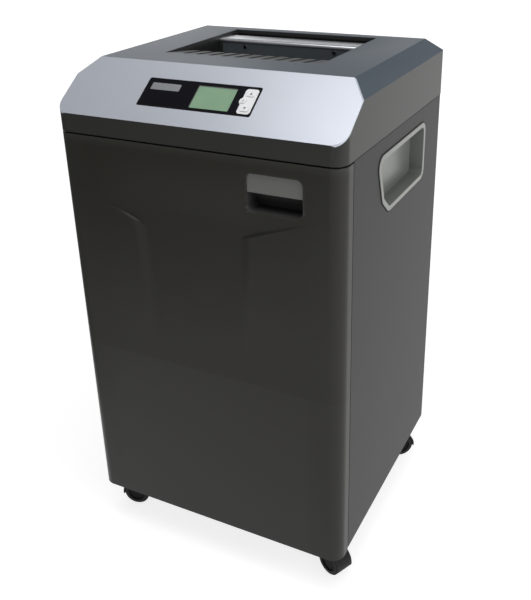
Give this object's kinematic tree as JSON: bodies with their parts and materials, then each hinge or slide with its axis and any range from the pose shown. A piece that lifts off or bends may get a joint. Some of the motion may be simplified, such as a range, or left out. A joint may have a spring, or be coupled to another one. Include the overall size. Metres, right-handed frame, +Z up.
{
  "type": "office paper shredder",
  "caption": "Free-standing paper shredder: cabinet with full-width hinged front door, top feed well, sloped control panel, side handle recesses and swivel casters.",
  "frame": {"origin": "on the floor, below the middle of the cabinet", "axes": "+X to the right seen from the front, the front door faces -Y, +Z up"},
  "size_m": [0.44, 0.41, 0.785],
  "materials": {
    "door_charcoal": "satin metallic paint",
    "panel_grey": "satin paint",
    "head_grey": "satin paint",
    "cover_blue_grey": "fine satin",
    "fascia_silver": "metallic silver paint",
    "gloss_black": "gloss",
    "black_plastic": "fine texture",
    "cup_grey": "fine satin",
    "key_white": "satin",
    "lcd_green": "smooth",
    "lcd_glass": "clear",
    "bar_silver": "anodised",
    "plate_blue": "satin paint",
    "steel": "brushed",
    "galvanised": "galvanised",
    "cutter_steel": "hardened",
    "zinc": "zinc plated",
    "motor_grey": "cast and painted",
    "board_green": "solder mask",
    "bin_grey": "fine texture",
    "wheel_black": "smooth"
  },
  "bodies": {
    "cabinet": {"base_plate": "panel_grey", "side_panel_left": "panel_grey", "side_panel_right": "panel_grey", "handle_cup_left": "cup_grey", "handle_cup_right": "cup_grey", "back_panel": "panel_grey", "mechanism_deck": "panel_grey", "waste_chute": "black_plastic", "waste_bin": "bin_grey", "magnet_catch": "black_plastic", "hinge_brackets": "galvanised", "hinge_pins": "steel", "head_tray": "black_plastic", "head_housing": "head_grey", "top_cover": "cover_blue_grey", "front_fascia": "fascia_silver", "control_panel": "gloss_black", "lcd_window": "lcd_glass", "lcd_module": "lcd_green", "keypad_bezel": "key_white", "control_board": "board_green", "feed_ramp": "cover_blue_grey", "throat_well": "black_plastic", "throat_plate": "plate_blue", "guide_bar": "bar_silver", "cover_screws": "zinc", "side_frame_left": "galvanised", "side_frame_right": "galvanised", "tie_rods": "steel", "gear_plate": "galvanised", "shaft_bearings": "steel", "stripper_combs": "black_plastic", "motor_body": "motor_grey", "power_board": "board_green", "power_entry": "black_plastic", "caster_mounts": "zinc"},
    "door": {"door_shell": "door_charcoal", "grip_cup": "black_plastic", "grip_plate": "cup_grey", "strike_bracket": "galvanised"},
    "key_forward": {"key_forward": "key_white"},
    "key_reverse": {"key_reverse": "key_white"},
    "key_power": {"key_power": "key_white"},
    "rocker": {"rocker": "black_plastic"},
    "front_roller": {"cutter_front": "cutter_steel", "front_timing_gear": "steel", "front_drive_gear": "steel"},
    "rear_roller": {"cutter_rear": "cutter_steel", "rear_timing_gear": "steel"},
    "layshaft": {"layshaft": "steel", "layshaft_wheel": "black_plastic"},
    "motor_rotor": {"motor_shaft": "steel"},
    "caster_front_right": {"caster_hood_front_right": "black_plastic"},
    "wheels_front_right": {"caster_wheels_front_right": "wheel_black"},
    "caster_front_left": {"caster_hood_front_left": "black_plastic"},
    "wheels_front_left": {"caster_wheels_front_left": "wheel_black"},
    "caster_rear_right": {"caster_hood_rear_right": "black_plastic"},
    "wheels_rear_right": {"caster_wheels_rear_right": "wheel_black"},
    "caster_rear_left": {"caster_hood_rear_left": "black_plastic"},
    "wheels_rear_left": {"caster_wheels_rear_left": "wheel_black"}
  },
  "joints": [
    {"name": "door_hinge", "type": "hinge", "parent": "cabinet", "child": "door", "pos_m": [-0.212, -0.178, 0.38], "axis": [0, 0, -1], "range_deg": [0, 100]},
    {"name": "key_forward_press", "type": "slide", "parent": "cabinet", "child": "key_forward", "axis": [0, 0.5821, -0.8131], "range_m": [0, 0.0012], "stiffness_N_per_m": 500},
    {"name": "key_reverse_press", "type": "slide", "parent": "cabinet", "child": "key_reverse", "axis": [0, 0.5821, -0.8131], "range_m": [0, 0.0012], "stiffness_N_per_m": 500},
    {"name": "key_power_press", "type": "slide", "parent": "cabinet", "child": "key_power", "axis": [0, 0.5821, -0.8131], "range_m": [0, 0.0012], "stiffness_N_per_m": 500},
    {"name": "rocker_tilt", "type": "hinge", "parent": "cabinet", "child": "rocker", "pos_m": [0.086, 0.197, 0.632], "axis": [1, 0, 0], "range_deg": [0, 20]},
    {"name": "front_roller_spin", "type": "hinge", "parent": "cabinet", "child": "front_roller", "pos_m": [0, 0.03, 0.66], "axis": [1, 0, 0], "continuous": true},
    {"name": "rear_roller_spin", "type": "hinge", "parent": "cabinet", "child": "rear_roller", "pos_m": [0, 0.078, 0.66], "axis": [1, 0, 0], "continuous": true},
    {"name": "layshaft_spin", "type": "hinge", "parent": "cabinet", "child": "layshaft", "pos_m": [0, -0.01491, 0.68288], "axis": [1, 0, 0], "continuous": true},
    {"name": "motor_spin", "type": "hinge", "parent": "cabinet", "child": "motor_rotor", "pos_m": [0, -0.07145, 0.67189], "axis": [1, 0, 0], "continuous": true},
    {"name": "front_right_swivel", "type": "hinge", "parent": "cabinet", "child": "caster_front_right", "pos_m": [0.173, -0.145, 0.054], "axis": [0, 0, 1], "continuous": true},
    {"name": "front_right_roll", "type": "hinge", "parent": "caster_front_right", "child": "wheels_front_right", "pos_m": [0.18944, -0.15232, 0.022], "axis": [0.4067, 0.9135, 0], "continuous": true},
    {"name": "front_left_swivel", "type": "hinge", "parent": "cabinet", "child": "caster_front_left", "pos_m": [-0.173, -0.145, 0.054], "axis": [0, 0, 1], "continuous": true},
    {"name": "front_left_roll", "type": "hinge", "parent": "caster_front_left", "child": "wheels_front_left", "pos_m": [-0.19039, -0.14966, 0.022], "axis": [0.2588, -0.9659, 0], "continuous": true},
    {"name": "rear_right_swivel", "type": "hinge", "parent": "cabinet", "child": "caster_rear_right", "pos_m": [0.173, 0.16, 0.054], "axis": [0, 0, 1], "continuous": true},
    {"name": "rear_right_roll", "type": "hinge", "parent": "caster_rear_right", "child": "wheels_rear_right", "pos_m": [0.18679, 0.17157, 0.022], "axis": [-0.6428, 0.766, 0], "continuous": true},
    {"name": "rear_left_swivel", "type": "hinge", "parent": "cabinet", "child": "caster_rear_left", "pos_m": [-0.173, 0.16, 0.054], "axis": [0, 0, 1], "continuous": true},
    {"name": "rear_left_roll", "type": "hinge", "parent": "caster_rear_left", "child": "wheels_rear_left", "pos_m": [-0.1828, 0.1751, 0.022], "axis": [-0.8387, -0.5446, 0], "continuous": true}
  ],
  "couplings": [
    {"joint": "rear_roller_spin", "follows": "front_roller_spin", "ratio": -1},
    {"joint": "layshaft_spin", "follows": "front_roller_spin", "ratio": -2.5},
    {"joint": "motor_spin", "follows": "front_roller_spin", "ratio": 7.5}
  ]
}
